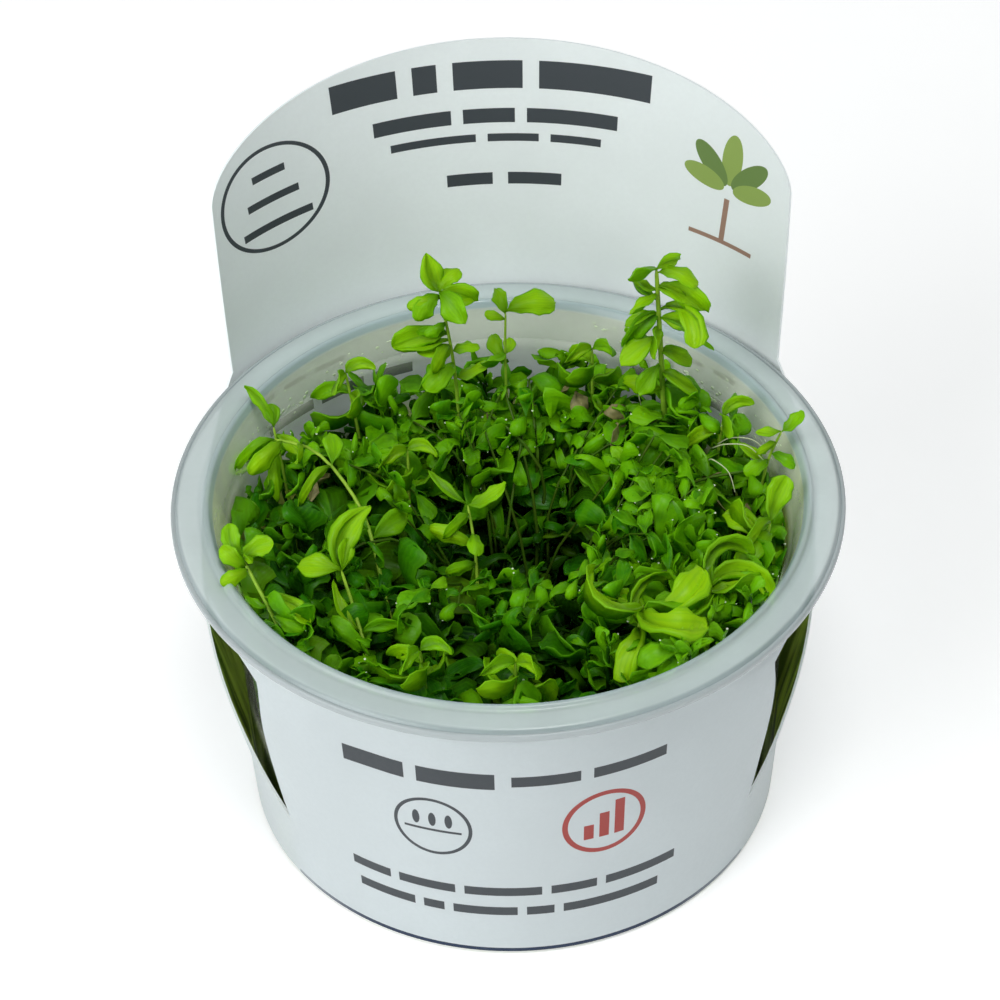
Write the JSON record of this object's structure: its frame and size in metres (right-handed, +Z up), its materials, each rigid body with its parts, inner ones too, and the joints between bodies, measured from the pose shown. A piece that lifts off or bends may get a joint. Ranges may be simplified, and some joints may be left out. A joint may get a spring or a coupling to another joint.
{
  "type": "potted pearlweed in a clear culture cup",
  "caption": "Dense bright green pearlweed filling a squat clear flanged cup, wrapped in a plain card sleeve that rises as a rounded shield behind the plants.",
  "frame": {"origin": "middle of the cup's flat underside", "axes": "+Z up along the cup, -Y towards the printed front of the sleeve, +Y towards the raised back panel"},
  "size_m": [0.1, 0.1088, 0.0973],
  "materials": {
    "cup_plastic": "clear, slightly milky polypropylene",
    "label_card": "smooth coated card, satin",
    "gel": "clear soft jelly",
    "leaves": "wet soft leaf, low gloss",
    "stems": "wet soft stem and leaf, low gloss"
  },
  "bodies": {
    "root": {"cup": "cup_plastic", "label_sleeve": "label_card", "nutrient_gel": "gel", "stem_back_right": "stems", "stem_back_left": "stems", "stem_back_middle": "stems", "stem_right": "stems", "stem_left_back": "stems", "stem_arching": "stems", "stem_pointed_leaf": "stems", "stem_lip_left": "stems", "stem_centre": "stems", "stem_broad_front": "stems", "stem_broad_right": "stems", "stem_right_bright": "stems", "stem_front_middle": "stems", "stem_front_left": "stems", "stem_back_far_left": "stems", "stem_back_low": "stems", "stem_right_back": "stems", "stem_middle_left": "stems", "tuft_01": "leaves", "tuft_02": "leaves", "tuft_03": "leaves", "tuft_04": "leaves", "tuft_05": "leaves", "tuft_06": "leaves", "tuft_07": "leaves", "tuft_08": "leaves", "tuft_09": "leaves", "tuft_10": "leaves"}
  },
  "joints": []
}
